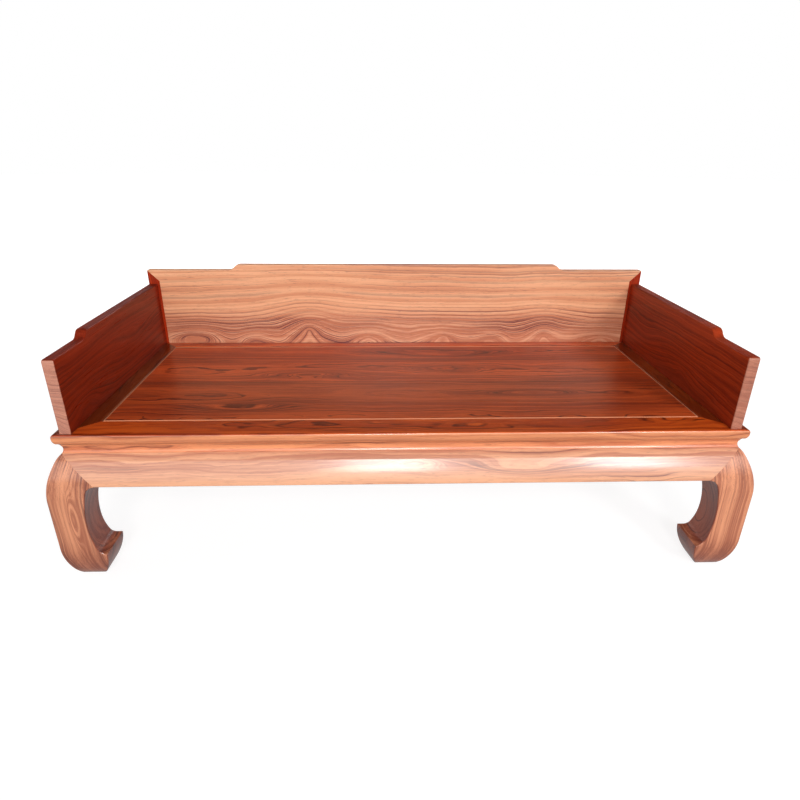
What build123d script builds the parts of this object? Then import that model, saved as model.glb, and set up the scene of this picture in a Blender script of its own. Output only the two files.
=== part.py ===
from build123d import *
import os
from math import asin, degrees

os.makedirs("parts", exist_ok=True)

# A luohan daybed of solid rosewood. Millimetres, +Z up, the front faces -Y.
# The origin is on the floor, under the middle of the seat.

# --- Seat frame, measured over the widest line of its edge moulding ---------------------
frame_length = 2050.0
frame_depth = 980.0
seat_height = 476.0
frame_thickness = 40.0
member_width = 106.0

# Edge moulding: an eased top arris, a nose that rolls under, and a hollow down to the waist
top_ease = 3.0
nose_top_drop = 7.0
nose_face_drop = 12.0
nose_bottom_drop = 29.0
nose_bottom_inset = 6.0
cove_inset = 16.0
cove_hollow = 1.6

# Mitred corners: a blind tenon on each end of the long members
corner_tenon_thickness = 12.0
corner_tenon_drop = 12.0
corner_tenon_inset = 40.0
corner_tenon_width = 44.0
corner_tenon_end_cover = 24.0

# --- Seat panel, edge-glued boards floating flush in the frame's groove ------------------
panel_thickness = 18.0
panel_gap = 1.0
panel_ease = 2.5
tongue_drop = 8.0
tongue_thickness = 8.0
tongue_length = 10.0
groove_depth = 12.0
seat_seams = (232.0, 445.0, 658.0)      # from the frame's front top arris

# Transverse battens, dovetailed up into the panel and tenoned into the long members
batten_count = 5
batten_end_space = 159.0                 # from an end member to the middle of the first batten
batten_width = 50.0
batten_depth = 36.0
batten_dovetail_neck = 26.0
batten_dovetail_head = 32.0
batten_dovetail_height = 5.0
batten_tenon_width = 26.0
batten_tenon_thickness = 12.0
batten_tenon_drop = 22.0
batten_tenon_length = 20.0

# --- Waist, a coved strip between the frame and the aprons ---------------------------------
waist_height = 22.0
waist_top_inset = 17.0
waist_hollow_inset = 18.5
waist_bottom_inset = 14.0
waist_back_inset = 34.0
spline_inset = 22.0                      # the tongues on the strip's two edges
spline_thickness = 6.0
spline_height = 5.0

# --- Bulging aprons ------------------------------------------------------------------------
apron_height = 91.0
shoulder_drop = 20.0                     # from the waist to where the bulge's long arc starts
bulge_out = 38.0                         # how far the legs stand out past the frame line
bulge_radius = 240.0
knee_drop = 52.0                         # from the apron's lower edge to the widest point
apron_straight_back = 38.0
apron_lip_inset = 8.0
apron_edge_radius = 3.0

# --- Legs, square in section, with inward horse-hoof feet ----------------------------------
post_width = 42.0
leg_waist_inset = 61.5                   # the inner face at the leg's thinnest place
leg_waist_height = 182.0
arch_radius = 29.0
arch_turn = 73.2
hollow_inset = 72.0
hollow_height = 115.0
toe_inset = 98.0
toe_height = 86.0
toe_belly_inset = 92.0
toe_belly_height = 47.0
sole_inner_inset = 68.0
sole_outer_out = 5.0
heel_height = 111.0
heel_radius = 220.0
heel_turn = 22.7
leg_arris = 2.0                          # the flat taken off the leg's free edges

# Hanging dovetails that the aprons drop over
hanger_inset = 56.0
hanger_neck = 12.0
hanger_head = 16.0
hanger_depth = 9.0
hanger_top_drop = 12.0
hanger_length = 44.0

# Double tenons at the top of each leg, the long one into the long member
leg_tenon_side = 14.0
leg_tenon_offset = 11.0
long_tenon_height = 22.0
short_tenon_height = 12.0

# --- Rails: solid boards standing on the seat frame ----------------------------------------
rail_thickness = 33.0
rail_inset = 22.0
back_low_height = 300.0
back_step = 21.0
back_step_run = 323.0                    # from the rail's end to the foot of the step
step_length = 46.0
side_low_height = 222.0
side_step = 23.0
side_step_start = 207.0                  # from the frame's front line to the foot of the step
side_front_inset = 11.0
side_corner_radius = 8.0
back_corner_radius = 5.0
rail_ease = 3.0
end_batten_width = 44.0
end_tongue_thickness = 10.0
end_tongue_length = 10.0
end_tongue_margin = 20.0

# Loose tenons under the rails
rail_tenon_length = 60.0
rail_tenon_thickness = 10.0
rail_tenon_reach = 24.0
rail_tenon_bed = 26.0
back_tenon_margin = 283.0                # from a rail's end to the middle of its first tenon
side_tenon_margin = 147.0

# Sliding-dovetail keys that lock the side rails to the back rail
key_neck = 10.0
key_head = 15.0
key_depth = 12.0
key_height = 28.0
key_bed_depth = 20.0
key_low = 40.0
key_high = 130.0
key_entry_spare = 2.0

# --- Clearances ------------------------------------------------------------------------------
glue_clearance = 0.2                     # round tenons that are glued in
slide_clearance = 0.3                    # round tenons and keys that slide
rail_gap = 0.3                           # between a rail and what it stands on or against

# Heights of the main lines above the floor
frame_bottom = seat_height - frame_thickness
waist_bottom = frame_bottom - waist_height
apron_bottom = waist_bottom - apron_height
knee_height = apron_bottom - knee_drop
shoulder_height = waist_bottom - shoulder_drop
rail_foot = seat_height + rail_gap

half_length = frame_length / 2
half_depth = frame_depth / 2
post_inset = waist_back_inset + post_width
back_rail_face = half_depth - rail_inset - rail_thickness
side_rail_middle = half_length - rail_inset - rail_thickness / 2

UP = Vector(0, 0, 1)
OUTWARD = {
    "front": Vector(0, -1, 0),
    "right": Vector(1, 0, 0),
    "back": Vector(0, 1, 0),
    "left": Vector(-1, 0, 0),
}
REACH = {"front": half_depth, "right": half_length, "back": half_depth, "left": half_length}
RUN = {"front": half_length, "right": half_depth, "back": half_length, "left": half_depth}


# --- Planes shared by the four sides ---------------------------------------------------------
def along(side):
    """The direction in which the pieces of one side run."""
    return OUTWARD[side].cross(UP)


def section_plane(side):
    """Plane across one side: local x is the distance outside the frame line, y the height."""
    return Plane(origin=OUTWARD[side] * REACH[side], x_dir=OUTWARD[side], z_dir=along(side))


def corner_point(side, end, inset, height):
    """Point on a side's frame line, at one end (1 or -1), drawn in by inset."""
    return OUTWARD[side] * REACH[side] + along(side) * end * (RUN[side] - inset) + UP * height


def corner_plane(side, end):
    """Upright mitre plane through a corner of the frame; its normal points into the side."""
    return Plane(origin=corner_point(side, end, 0, 0), z_dir=OUTWARD[side] - along(side) * end)


def shoulder_plane(side, end):
    """The 45 degree mitre between an apron and a leg, seen from that side."""
    origin = corner_point(side, end, waist_bottom_inset, waist_bottom)
    return Plane(origin=origin, z_dir=UP - along(side) * end)


def trim_to_corners(side):
    for end in (1, -1):
        split(bisect_by=corner_plane(side, end), keep=Keep.TOP)


def block(x_span, y_span, z_span, mode=Mode.ADD):
    """A square-cornered block between pairs of limits, such as a tenon or its mortise."""
    middle = (sum(x_span) / 2, sum(y_span) / 2, sum(z_span) / 2)
    with Locations(middle):
        sizes = [abs(span[1] - span[0]) for span in (x_span, y_span, z_span)]
        Box(*sizes, mode=mode)


def around(middle, size, clearance=0.0):
    """Limits of a span of the given size about its middle."""
    return (middle - size / 2 - clearance, middle + size / 2 + clearance)


# --- Places of the hidden joints -------------------------------------------------------------
batten_run = frame_length - 2 * member_width - 2 * batten_end_space
batten_places = [batten_run * (i / (batten_count - 1) - 0.5) for i in range(batten_count)]
back_half_length = half_length - rail_inset
back_tenon_places = [back_tenon_margin - back_half_length, 0.0, back_half_length - back_tenon_margin]
back_rail_middle = back_rail_face + rail_thickness / 2
side_rail_front = -half_depth + side_front_inset
side_rail_back = back_rail_face - rail_gap
side_tenon_places = [side_rail_front + side_tenon_margin, side_rail_back - side_tenon_margin]
post_middle = waist_back_inset + post_width / 2
long_tenon_insets = (post_middle + leg_tenon_offset, post_middle - leg_tenon_offset)


def corner_tenon(x_sign, y_sign, clearance, mode):
    x_limits = (half_length - corner_tenon_end_cover + clearance, half_length - member_width)
    y_outer = half_depth - corner_tenon_inset + clearance
    y_inner = half_depth - corner_tenon_inset - corner_tenon_width - clearance
    z_top = seat_height - corner_tenon_drop + clearance
    z_low = seat_height - corner_tenon_drop - corner_tenon_thickness - clearance
    block([x_sign * x for x in x_limits], (y_sign * y_outer, y_sign * y_inner), (z_low, z_top), mode)


def leg_tenon(x_sign, y_sign, x_inset, y_inset, height, clearance, mode):
    x_middle = x_sign * (half_length - x_inset)
    y_middle = y_sign * (half_depth - y_inset)
    block(
        around(x_middle, leg_tenon_side, clearance),
        around(y_middle, leg_tenon_side, clearance),
        (frame_bottom - clearance, frame_bottom + height + clearance),
        mode,
    )


def long_leg_tenon(x_sign, y_sign, clearance, mode):
    leg_tenon(x_sign, y_sign, *long_tenon_insets, long_tenon_height, clearance, mode)


def short_leg_tenon(x_sign, y_sign, clearance, mode):
    leg_tenon(x_sign, y_sign, *reversed(long_tenon_insets), short_tenon_height, clearance, mode)


def rail_tenon_mortise(x_middle, y_middle, x_size, y_size):
    depth = rail_tenon_reach + slide_clearance
    block(
        around(x_middle, x_size, slide_clearance),
        around(y_middle, y_size, slide_clearance),
        (seat_height - depth, seat_height + slide_clearance),
        Mode.SUBTRACT,
    )


# --- Seat frame --------------------------------------------------------------------------------
def member_section(side):
    cove_top = seat_height - nose_bottom_drop
    cove_middle = (-nose_bottom_inset - cove_inset) / 2 - cove_hollow
    inner = -member_width
    groove_top = seat_height - tongue_drop
    groove_bottom = groove_top - tongue_thickness - glue_clearance
    spline_top = frame_bottom + spline_height + glue_clearance
    with BuildSketch(section_plane(side)) as section:
        with BuildLine():
            face = Line((0, seat_height - nose_face_drop), (0, seat_height - nose_top_drop))
            ease = TangentArc(face @ 1, (-top_ease, seat_height), tangent=(0, 1))
            nose = TangentArc(face @ 0, (-nose_bottom_inset, cove_top), tangent=(0, -1))
            cove = ThreePointArc(
                nose @ 1,
                (cove_middle, (cove_top + frame_bottom) / 2 + cove_hollow),
                (-cove_inset, frame_bottom),
            )
            Polyline(
                cove @ 1,
                (-spline_inset, frame_bottom),
                (-spline_inset, spline_top),
                (-spline_inset - spline_thickness, spline_top),
                (-spline_inset - spline_thickness, frame_bottom),
                (inner, frame_bottom),
                (inner, groove_bottom),
                (inner + groove_depth, groove_bottom),
                (inner + groove_depth, groove_top),
                (inner, groove_top),
                (inner, seat_height - panel_ease),
                (inner + panel_ease, seat_height),
                ease @ 1,
            )
        make_face()
    return section.sketch


def frame_member(side):
    extrude(member_section(side), amount=RUN[side], both=True)
    trim_to_corners(side)


def batten_mortises(y_sign):
    y_face = half_depth - member_width
    z_top = seat_height - batten_tenon_drop
    for x in batten_places:
        block(
            around(x, batten_tenon_width, glue_clearance),
            (y_sign * y_face, y_sign * (y_face + batten_tenon_length + glue_clearance)),
            (z_top - batten_tenon_thickness - glue_clearance, z_top + glue_clearance),
            Mode.SUBTRACT,
        )


def long_member(side, y_sign):
    """Front or back member: corner tenons, and mortises for the battens and the legs."""
    frame_member(side)
    for x_sign in (1, -1):
        corner_tenon(x_sign, y_sign, 0.0, Mode.ADD)
        long_leg_tenon(x_sign, y_sign, glue_clearance, Mode.SUBTRACT)
    batten_mortises(y_sign)


def end_member(side, x_sign):
    """Left or right member: mortises for the corner tenons, the legs and the side rail."""
    frame_member(side)
    for y_sign in (1, -1):
        corner_tenon(x_sign, y_sign, glue_clearance, Mode.SUBTRACT)
        short_leg_tenon(x_sign, y_sign, glue_clearance, Mode.SUBTRACT)
    for y in side_tenon_places:
        rail_tenon_mortise(x_sign * side_rail_middle, y, rail_tenon_thickness, rail_tenon_length)


with BuildPart() as frame_front:
    long_member("front", -1)

with BuildPart() as frame_back:
    long_member("back", 1)
    for x in back_tenon_places:
        rail_tenon_mortise(x, back_rail_middle, rail_tenon_length, rail_tenon_thickness)

with BuildPart() as frame_left:
    end_member("left", -1)

with BuildPart() as frame_right:
    end_member("right", 1)


# --- Seat panel --------------------------------------------------------------------------------
panel_half_length = half_length - member_width - panel_gap
panel_half_depth = half_depth - member_width - panel_gap
seam_lines = [-half_depth + top_ease + seam for seam in seat_seams]
seat_board_edges = [-panel_half_depth] + seam_lines + [panel_half_depth]


def dovetail_section(x, neck, head, low, high):
    """An upright dovetail's section across the daybed, narrow at its foot."""
    with BuildSketch(Plane.XZ) as section:
        with BuildLine():
            Polyline(
                (x - neck / 2, low),
                (x + neck / 2, low),
                (x + head / 2, high),
                (x - head / 2, high),
                close=True,
            )
        make_face()
    return section.sketch


def seat_board(front, back):
    """One board of the panel, with tongues at its ends and on its outer edge."""
    outer_front = front == seat_board_edges[0]
    outer_back = back == seat_board_edges[-1]
    under = seat_height - panel_thickness
    block((-panel_half_length, panel_half_length), (front, back), (under, seat_height))
    rim = []
    for edge in edges().group_by(Axis.Z)[-1]:
        middle = edge.center()
        on_end = abs(middle.X) > panel_half_length - 1
        on_front = outer_front and middle.Y < front + 1
        on_back = outer_back and middle.Y > back - 1
        if on_end or on_front or on_back:
            rim.append(edge)
    chamfer(rim, length=panel_ease)
    tongue_front = front - tongue_length if outer_front else front
    tongue_back = back + tongue_length if outer_back else back
    tongue_top = seat_height - tongue_drop
    block(
        (-panel_half_length - tongue_length, panel_half_length + tongue_length),
        (tongue_front, tongue_back),
        (tongue_top - tongue_thickness, tongue_top),
    )
    for x in batten_places:
        slot = dovetail_section(
            x,
            batten_dovetail_neck + 2 * glue_clearance,
            batten_dovetail_head + 2 * glue_clearance,
            under,
            under + batten_dovetail_height + glue_clearance,
        )
        extrude(slot, amount=half_depth, both=True, mode=Mode.SUBTRACT)


def seat_batten(x):
    """A transverse batten, dovetailed up into the boards and tenoned at both ends."""
    y_face = half_depth - member_width
    under = seat_height - panel_thickness
    tenon_top = seat_height - batten_tenon_drop
    block(around(x, batten_width), (-y_face, y_face), (under - batten_depth, under))
    chamfer(edges().filter_by(Axis.Y).group_by(Axis.Z)[0], length=panel_ease)
    tail = dovetail_section(
        x, batten_dovetail_neck, batten_dovetail_head, under, under + batten_dovetail_height
    )
    extrude(tail, amount=y_face - groove_depth, both=True)
    y_tenon = y_face + batten_tenon_length
    tenon_low = tenon_top - batten_tenon_thickness
    block(around(x, batten_tenon_width), (-y_tenon, y_tenon), (tenon_low, tenon_top))


# --- Waist -------------------------------------------------------------------------------------
def waist_strip(side):
    """A coved strip with a tongue up into the frame and one down into the apron."""
    near = -spline_inset
    far = -spline_inset - spline_thickness
    with BuildSketch(section_plane(side)) as section:
        with BuildLine():
            hollow = ThreePointArc(
                (-waist_top_inset, frame_bottom),
                (-waist_hollow_inset, frame_bottom - waist_height / 2),
                (-waist_bottom_inset, waist_bottom),
            )
            Polyline(
                hollow @ 1,
                (near, waist_bottom),
                (near, waist_bottom - spline_height),
                (far, waist_bottom - spline_height),
                (far, waist_bottom),
                (-waist_back_inset, waist_bottom),
                (-waist_back_inset, frame_bottom),
                (far, frame_bottom),
                (far, frame_bottom + spline_height),
                (near, frame_bottom + spline_height),
                (near, frame_bottom),
                hollow @ 0,
            )
        make_face()
    extrude(section.sketch, amount=RUN[side], both=True)
    trim_to_corners(side)


# --- Aprons ------------------------------------------------------------------------------------
def bulge_arc(low, high):
    """The long arc of the bulge between two heights, drawn upwards."""
    start = degrees(asin((low - knee_height) / bulge_radius))
    finish = degrees(asin((high - knee_height) / bulge_radius))
    return CenterArc((bulge_out - bulge_radius, knee_height), bulge_radius, start, finish - start)


def apron_section(side, slot_clearance=0.0, edge_radius=apron_edge_radius):
    back = -waist_back_inset
    near = -spline_inset + slot_clearance
    far = -spline_inset - spline_thickness - slot_clearance
    slot_bottom = waist_bottom - spline_height - slot_clearance
    with BuildSketch(section_plane(side)) as section:
        with BuildLine():
            bulge = bulge_arc(apron_bottom, shoulder_height)
            shoulder = TangentArc(bulge @ 1, (-waist_bottom_inset, waist_bottom), tangent=bulge % 1)
            Polyline(
                shoulder @ 1,
                (near, waist_bottom),
                (near, slot_bottom),
                (far, slot_bottom),
                (far, waist_bottom),
                (back, waist_bottom),
                (back, waist_bottom - apron_straight_back),
                (-apron_lip_inset, apron_bottom),
                bulge @ 0,
            )
        make_face()
        if edge_radius:
            fillet(vertices().group_by(Axis.Y)[0], radius=edge_radius)
    return section.sketch


def hanger(side, end, clearance, mode):
    """The dovetail on a leg's post that an apron drops over, or its slot in the apron."""
    root = -waist_back_inset
    tip = root + hanger_depth + clearance
    neck = hanger_neck / 2 + clearance
    head = hanger_head / 2 + clearance
    top = waist_bottom - hanger_top_drop
    origin = corner_point(side, end, hanger_inset, top + clearance)
    plane = Plane(origin=origin, x_dir=OUTWARD[side], z_dir=UP)
    with BuildSketch(plane) as section:
        with BuildLine():
            Polyline((root, -neck), (tip, -head), (tip, head), (root, neck), close=True)
        make_face()
    extrude(section.sketch, amount=hanger_length + clearance, dir=-UP, mode=mode)


def apron(side):
    extrude(apron_section(side, glue_clearance), amount=RUN[side], both=True)
    trim_to_corners(side)
    for end in (1, -1):
        split(bisect_by=shoulder_plane(side, end), keep=Keep.TOP)
        hanger(side, end, glue_clearance, Mode.SUBTRACT)


# --- Legs --------------------------------------------------------------------------------------
def leg_section(side):
    """The leg's outline seen from the next side, with the hoof curling inwards at its foot."""
    with BuildSketch(section_plane(side)) as section:
        with BuildLine():
            bulge = bulge_arc(knee_height, shoulder_height)
            shoulder = TangentArc(bulge @ 1, (-waist_bottom_inset, waist_bottom), tangent=bulge % 1)
            shank = Line((bulge_out, knee_height), (bulge_out, heel_height))
            heel = JernArc(start=shank @ 1, tangent=shank % 1, radius=heel_radius, arc_size=-heel_turn)
            sole_edge = TangentArc(heel @ 1, (sole_outer_out, 0), tangent=heel % 1)
            sole = Line(sole_edge @ 1, (-sole_inner_inset, 0))
            toe = ThreePointArc(sole @ 1, (-toe_belly_inset, toe_belly_height), (-toe_inset, toe_height))
            arch_end = (-waist_bottom_inset - apron_height, apron_bottom)
            arch = JernArc(start=arch_end, tangent=(1, 0), radius=arch_radius, arc_size=-arch_turn)
            calf = TangentArc(arch @ 1, (-leg_waist_inset, leg_waist_height), tangent=arch % 1)
            hollow = TangentArc(calf @ 1, (-hollow_inset, hollow_height), tangent=calf % 1)
            TangentArc(hollow @ 1, toe @ 1, tangent=hollow % 1)
            Polyline(
                arch_end,
                (-post_inset, apron_bottom),
                (-post_inset, waist_bottom),
                shoulder @ 1,
            )
        make_face()
    return section.sketch


def leg_wing(side, end):
    """The thin part of the shoulder that carries the mitre over to the arch."""
    inner_face = Plane(origin=corner_point(side, end, post_inset - 1, 0), z_dir=along(side) * -end)
    with BuildPart() as wing:
        extrude(apron_section(side, edge_radius=0), amount=RUN[side], both=True)
        split(bisect_by=shoulder_plane(side, end), keep=Keep.BOTTOM)
        split(bisect_by=inner_face, keep=Keep.TOP)
    return wing.part


def is_free_arris(edge):
    """True for the front left leg's edges that show: its outer corner, and its sides below the aprons."""
    x_inset = edge.center().X + half_length
    y_inset = edge.center().Y + half_depth
    on_corner = max(x_inset, y_inset) < waist_back_inset
    on_side = min(x_inset, y_inset) < waist_back_inset and edge.bounding_box().max.Z < apron_bottom + 1
    return on_corner or on_side


with BuildPart() as leg_front_left:
    corner_ends = {"left": -1, "front": 1}
    for side, end in corner_ends.items():
        mode = Mode.ADD if side == "left" else Mode.INTERSECT
        extrude(leg_section(side), amount=RUN[side] + 2 * bulge_out, dir=along(side) * end, mode=mode)
    arrises = edges().filter_by(lambda edge: edge.bounding_box().size.Z > 1).filter_by(is_free_arris)
    chamfer(arrises, length=leg_arris)
    for side, end in corner_ends.items():
        split(bisect_by=shoulder_plane(side, end), keep=Keep.BOTTOM)
    block(
        (waist_back_inset - half_length, post_inset - half_length),
        (waist_back_inset - half_depth, post_inset - half_depth),
        (apron_bottom, frame_bottom),
    )
    for side, end in corner_ends.items():
        add(leg_wing(side, end))
        hanger(side, end, 0.0, Mode.ADD)
    long_leg_tenon(-1, -1, 0.0, Mode.ADD)
    short_leg_tenon(-1, -1, 0.0, Mode.ADD)

with BuildPart() as leg_front_right:
    mirror(leg_front_left.part, about=Plane.YZ)

with BuildPart() as leg_back_left:
    mirror(leg_front_left.part, about=Plane.XZ)

with BuildPart() as leg_back_right:
    mirror(leg_front_right.part, about=Plane.XZ)


# --- Rails -------------------------------------------------------------------------------------
def ogee(start, end):
    """The S-shaped step in a rail's top edge: two equal arcs, level at both ends."""
    middle = ((start[0] + end[0]) / 2, (start[1] + end[1]) / 2)
    first = TangentArc(start, middle, tangent=(1 if end[0] > start[0] else -1, 0))
    TangentArc(first @ 1, end, tangent=first % 1)


def key_section(x_middle, low, neck, head, deep):
    """A key's dovetail seen from above, from the back rail's face inwards."""
    with BuildSketch(Plane.XY.offset(low)) as section:
        with BuildLine():
            Polyline(
                (x_middle - neck, back_rail_face),
                (x_middle + neck, back_rail_face),
                (x_middle + head, back_rail_face + deep),
                (x_middle - head, back_rail_face + deep),
                close=True,
            )
        make_face()
    return section.sketch


def key_slot(x_middle, low):
    """Slot in the back rail's end batten: a dovetail below, a wide entry above it."""
    neck = key_neck / 2 + slide_clearance
    head = key_head / 2 + slide_clearance
    deep = key_depth + slide_clearance
    tail = key_section(x_middle, low - slide_clearance, neck, head, deep)
    extrude(tail, amount=key_height + 2 * slide_clearance, dir=UP, mode=Mode.SUBTRACT)
    entry_low = low + key_height
    block(
        (x_middle - head, x_middle + head),
        (back_rail_face, back_rail_face + deep),
        (entry_low, entry_low + key_height + key_entry_spare + slide_clearance),
        Mode.SUBTRACT,
    )


key_heights = {"lower": rail_foot + key_low, "upper": rail_foot + key_high}
back_top = rail_foot + back_low_height
batten_line = back_half_length - end_batten_width
mitre_foot = back_top - end_batten_width


# The whole back rail, before it is parted into a board and two end battens
with BuildPart() as back_rail_blank:
    with BuildSketch(Plane.XZ.offset(-back_rail_face)):
        with BuildLine():
            step_foot = back_half_length - back_step_run
            step_top = step_foot - step_length
            Line((-back_half_length, rail_foot), (back_half_length, rail_foot))
            Line((back_half_length, rail_foot), (back_half_length, back_top))
            Line((back_half_length, back_top), (step_foot, back_top))
            ogee((step_foot, back_top), (step_top, back_top + back_step))
            Line((step_top, back_top + back_step), (-step_top, back_top + back_step))
            ogee((-step_foot, back_top), (-step_top, back_top + back_step))
            Line((-step_foot, back_top), (-back_half_length, back_top))
            Line((-back_half_length, back_top), (-back_half_length, rail_foot))
        make_face()
    extrude(amount=rail_thickness, dir=OUTWARD["back"])
    outer_corners = edges().filter_by(Axis.Y).filter_by(
        lambda edge: abs(edge.center().X) > back_half_length - 1 and edge.center().Z > rail_foot + 1
    )
    fillet(outer_corners, radius=back_corner_radius)
    top_faces = faces().filter_by(lambda face: face.normal_at().Z > 0.2)
    rims = top_faces.edges().filter_by(Axis.Y, reverse=True)
    fillet(rims, radius=rail_ease)


def end_batten_region(x_sign, mode):
    """The outline of an end batten, mitred with the board at the rail's top corner."""
    with BuildSketch(Plane.XZ.offset(-back_rail_face + 1)) as region:
        with BuildLine():
            Polyline(
                (x_sign * batten_line, rail_foot - 1),
                (x_sign * batten_line, mitre_foot),
                (x_sign * (back_half_length + 1), back_top + 1),
                (x_sign * (back_half_length + 1), rail_foot - 1),
                close=True,
            )
        make_face()
    extrude(region.sketch, amount=rail_thickness + 2, dir=OUTWARD["back"], mode=mode)


def end_tongue(x_sign, clearance, mode):
    """The tongue on the board's end, or its groove in the batten."""
    block(
        (x_sign * (batten_line - 1), x_sign * (batten_line + end_tongue_length + clearance)),
        around(back_rail_middle, end_tongue_thickness, clearance),
        (
            rail_foot + end_tongue_margin - clearance,
            mitre_foot - end_tongue_margin + clearance,
        ),
        mode,
    )


with BuildPart() as back_board:
    add(back_rail_blank.part)
    for x_sign in (1, -1):
        end_batten_region(x_sign, Mode.SUBTRACT)
        end_tongue(x_sign, 0.0, Mode.ADD)
    for x in back_tenon_places:
        block(
            around(x, rail_tenon_length, glue_clearance),
            around(back_rail_middle, rail_tenon_thickness, glue_clearance),
            (rail_foot, rail_foot + rail_tenon_bed + glue_clearance),
            Mode.SUBTRACT,
        )


def back_end_batten(x_sign):
    add(back_rail_blank.part)
    end_batten_region(x_sign, Mode.INTERSECT)
    end_tongue(x_sign, glue_clearance, Mode.SUBTRACT)
    for low in key_heights.values():
        key_slot(x_sign * side_rail_middle, low)


def side_board(x_sign):
    """A solid side rail: low at the front, stepping up behind, bedded on tenons and keys."""
    x_outer = x_sign * (half_length - rail_inset)
    top = rail_foot + side_low_height
    step_foot = -half_depth + side_step_start
    step_top = step_foot + step_length
    with BuildSketch(Plane.YZ.offset(x_outer)) as outline:
        with BuildLine():
            Line((side_rail_back, rail_foot), (side_rail_front, rail_foot))
            Line((side_rail_front, rail_foot), (side_rail_front, top))
            Line((side_rail_front, top), (step_foot, top))
            ogee((step_foot, top), (step_top, top + side_step))
            Line((step_top, top + side_step), (side_rail_back, top + side_step))
            Line((side_rail_back, top + side_step), (side_rail_back, rail_foot))
        make_face()
    extrude(outline.sketch, amount=rail_thickness, dir=(-x_sign, 0, 0))
    front_corner = edges().filter_by(Axis.X).group_by(Axis.Y)[0].sort_by(Axis.Z)[-1]
    fillet(front_corner, radius=side_corner_radius)
    top_faces = faces().filter_by(lambda face: face.normal_at().Z > 0.2)
    front_faces = faces().filter_by(lambda face: face.normal_at().Y < -0.9)
    rims = (top_faces.edges() + front_faces.edges()).filter_by(Axis.X, reverse=True)
    fillet(rims, radius=rail_ease)
    x_middle = x_sign * side_rail_middle
    for y in side_tenon_places:
        block(
            around(x_middle, rail_tenon_thickness, glue_clearance),
            around(y, rail_tenon_length, glue_clearance),
            (rail_foot, rail_foot + rail_tenon_bed + glue_clearance),
            Mode.SUBTRACT,
        )
    for low in key_heights.values():
        block(
            around(x_middle, key_neck, glue_clearance),
            (side_rail_back - key_bed_depth - glue_clearance, side_rail_back),
            (low - glue_clearance, low + key_height + glue_clearance),
            Mode.SUBTRACT,
        )


def rail_key(x_sign, low):
    """A key bedded in a side rail's end, its dovetail head in the back rail's batten."""
    x_middle = x_sign * side_rail_middle
    bed = (side_rail_back - key_bed_depth, back_rail_face)
    block(around(x_middle, key_neck), bed, (low, low + key_height))
    head = key_section(x_middle, low, key_neck / 2, key_head / 2, key_depth)
    extrude(head, amount=key_height, dir=UP)


def rail_tenon(x_middle, y_middle, x_size, y_size):
    """A loose tenon glued into the underside of a rail, reaching into the seat frame."""
    z_span = (seat_height - rail_tenon_reach, rail_foot + rail_tenon_bed)
    block(around(x_middle, x_size), around(y_middle, y_size), z_span)
    chamfer(edges().group_by(Axis.Z)[0], length=1.0)


# --- Write every piece ---------------------------------------------------------------------------
def write(piece, name):
    piece.part.label = name
    export_step(piece.part, f"parts/{name}.step")


write(frame_front, "frame_front")
write(frame_back, "frame_back")
write(frame_left, "frame_left")
write(frame_right, "frame_right")

for number, (front, back) in enumerate(zip(seat_board_edges[:-1], seat_board_edges[1:]), start=1):
    with BuildPart() as board:
        seat_board(front, back)
    write(board, f"seat_board_{number}")

for number, x in enumerate(batten_places, start=1):
    with BuildPart() as batten:
        seat_batten(x)
    write(batten, f"seat_batten_{number}")

for side in OUTWARD:
    with BuildPart() as waist:
        waist_strip(side)
    write(waist, f"waist_{side}")
    with BuildPart() as side_apron:
        apron(side)
    write(side_apron, f"apron_{side}")

write(leg_front_left, "leg_front_left")
write(leg_front_right, "leg_front_right")
write(leg_back_left, "leg_back_left")
write(leg_back_right, "leg_back_right")

write(back_board, "back_board")
for number, x in enumerate(back_tenon_places, start=1):
    with BuildPart() as tenon:
        rail_tenon(x, back_rail_middle, rail_tenon_length, rail_tenon_thickness)
    write(tenon, f"back_tenon_{number}")

for x_side in ("left", "right"):
    x_sign = OUTWARD[x_side].X
    with BuildPart() as end_batten:
        back_end_batten(x_sign)
    write(end_batten, f"back_batten_{x_side}")
    with BuildPart() as board:
        side_board(x_sign)
    write(board, f"{x_side}_board")
    for place, low in key_heights.items():
        with BuildPart() as key:
            rail_key(x_sign, low)
        write(key, f"{x_side}_key_{place}")
    for place, y in zip(("front", "back"), side_tenon_places):
        with BuildPart() as tenon:
            rail_tenon(x_sign * side_rail_middle, y, rail_tenon_thickness, rail_tenon_length)
        write(tenon, f"{x_side}_tenon_{place}")
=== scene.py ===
# %% [markdown]
# # A luohan daybed in lacquered rosewood
#
# The daybed's shape comes ready made, as forty-one pieces of joinery. What is left to
# make here is its looks: choose a plank for each piece, bring out its grain, stain and
# lacquer it, and stand the daybed on a pale floor in soft light.

# %% Load the joinery
import math

import bpy
from mathutils import Euler, Matrix, Vector


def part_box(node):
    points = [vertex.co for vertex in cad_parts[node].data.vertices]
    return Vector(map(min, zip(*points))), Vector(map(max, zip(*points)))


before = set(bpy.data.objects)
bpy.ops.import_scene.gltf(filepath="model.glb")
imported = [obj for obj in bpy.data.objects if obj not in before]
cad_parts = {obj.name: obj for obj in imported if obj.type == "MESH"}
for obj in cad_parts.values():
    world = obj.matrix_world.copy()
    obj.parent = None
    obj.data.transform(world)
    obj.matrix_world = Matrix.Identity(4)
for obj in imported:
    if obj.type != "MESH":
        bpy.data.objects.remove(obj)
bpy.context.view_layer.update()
bpy.ops.object.select_all(action="DESELECT")

# %% [markdown]
# ## Small helpers
#
# A wood material is a long chain of small nodes. It could be wired by hand in the Shader
# Editor, but forty-one planks need the same chain with other numbers. So one helper adds a
# node and fills its sockets, one does sums, and one opens a node group: a recipe that every
# plank uses with its own values.


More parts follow.
